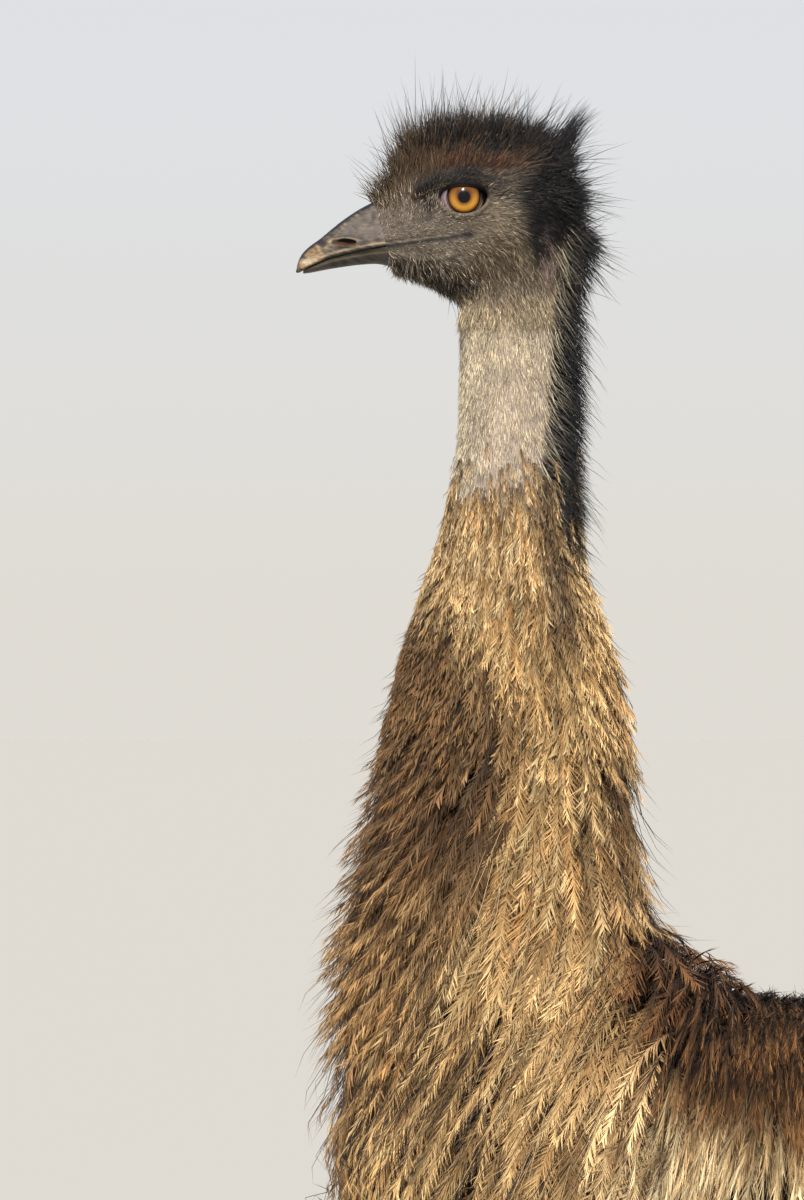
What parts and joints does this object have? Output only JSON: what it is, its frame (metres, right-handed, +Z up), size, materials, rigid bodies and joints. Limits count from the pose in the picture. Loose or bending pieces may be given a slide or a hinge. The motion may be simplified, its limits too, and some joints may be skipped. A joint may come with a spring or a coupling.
{
  "type": "emu",
  "caption": "Life-size still model of an adult emu standing with its neck upright, with loose drooping body feathers, bare shanks and three-toed feet.",
  "frame": {"origin": "on the floor under the middle of the bird's outline, midway between the feet across the body", "axes": "+Z up, the bird faces -X, its left side is -Y"},
  "size_m": [0.9448, 0.456, 1.6899],
  "materials": {
    "body_feather": "loose shaggy feathers, straw to dark brown",
    "neck_coat": "hair-like feathers, pale buff with a black nape",
    "head_coat": "short bristles and a black hairy crown over grey skin",
    "leg_skin": "grey-brown horny scales",
    "bill": "dark satin horn with a paler tip",
    "claw": "near-black satin horn",
    "eye": "wet, amber iris and dark pupil"
  },
  "bodies": {
    "root": {"thigh_left": "body_feather", "shank_left": "leg_skin", "foot_left": "leg_skin", "toe_middle_left": "leg_skin", "toe_inner_left": "leg_skin", "toe_outer_left": "leg_skin", "claw_middle_left": "claw", "claw_inner_left": "claw", "claw_outer_left": "claw", "wing_left": "body_feather", "eye_left": "eye", "thigh_right": "body_feather", "shank_right": "leg_skin", "foot_right": "leg_skin", "toe_middle_right": "leg_skin", "toe_inner_right": "leg_skin", "toe_outer_right": "leg_skin", "claw_middle_right": "claw", "claw_inner_right": "claw", "claw_outer_right": "claw", "wing_right": "body_feather", "eye_right": "eye", "bill_upper": "bill", "bill_lower": "bill", "head": "head_coat", "neck_upper": "neck_coat", "neck_lower": "neck_coat", "trunk": "body_feather", "tail": "body_feather"}
  },
  "joints": []
}
